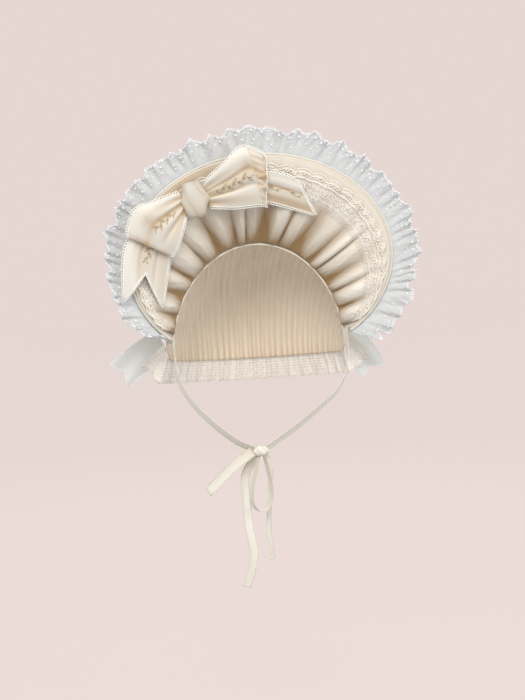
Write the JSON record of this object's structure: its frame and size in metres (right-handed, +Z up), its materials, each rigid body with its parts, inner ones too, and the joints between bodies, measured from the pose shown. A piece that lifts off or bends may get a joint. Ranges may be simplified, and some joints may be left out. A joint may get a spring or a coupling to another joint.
{
  "type": "lolita bonnet",
  "caption": "Cloth bonnet with a puffed gathered crown, a stiff flared brim lined in folded satin, lace, a pleated sheer ruffle, a ribbon bow and chin ties.",
  "frame": {"origin": "middle of the head opening, in the plane of the seam between brim and crown, level with the lower ends of the brim; a head fills the opening there", "axes": "+Z up along the worn head, -Y towards the face and the front of the brim, +X towards the right as seen from the front"},
  "size_m": [0.368, 0.255, 0.5289],
  "materials": {
    "brim_cotton": "matt woven cotton",
    "ivory_satin": "soft satin",
    "ivory_lace": "embroidered net lace",
    "white_organza": "sheer dotted organza",
    "cream_ribbon": "satin ribbon with a looped edge",
    "tie_satin": "narrow satin ribbon"
  },
  "bodies": {
    "root": {"crown": "brim_cotton", "brim": "brim_cotton", "lining": "ivory_satin", "lace_trim": "ivory_lace", "outer_ruffle": "white_organza", "nape_lace": "ivory_lace", "bow_knot": "cream_ribbon", "bow_loop_left": "cream_ribbon", "bow_loop_right": "cream_ribbon", "bow_tail_left": "cream_ribbon", "bow_tail_right": "cream_ribbon", "sheer_tail_left": "white_organza", "sheer_tail_right": "white_organza", "tie_left": "tie_satin", "tie_right": "tie_satin", "tie_knot": "tie_satin", "tie_loop_left": "tie_satin", "tie_loop_front": "tie_satin", "tie_tail_left": "tie_satin", "tie_tail_right": "tie_satin"}
  },
  "joints": []
}
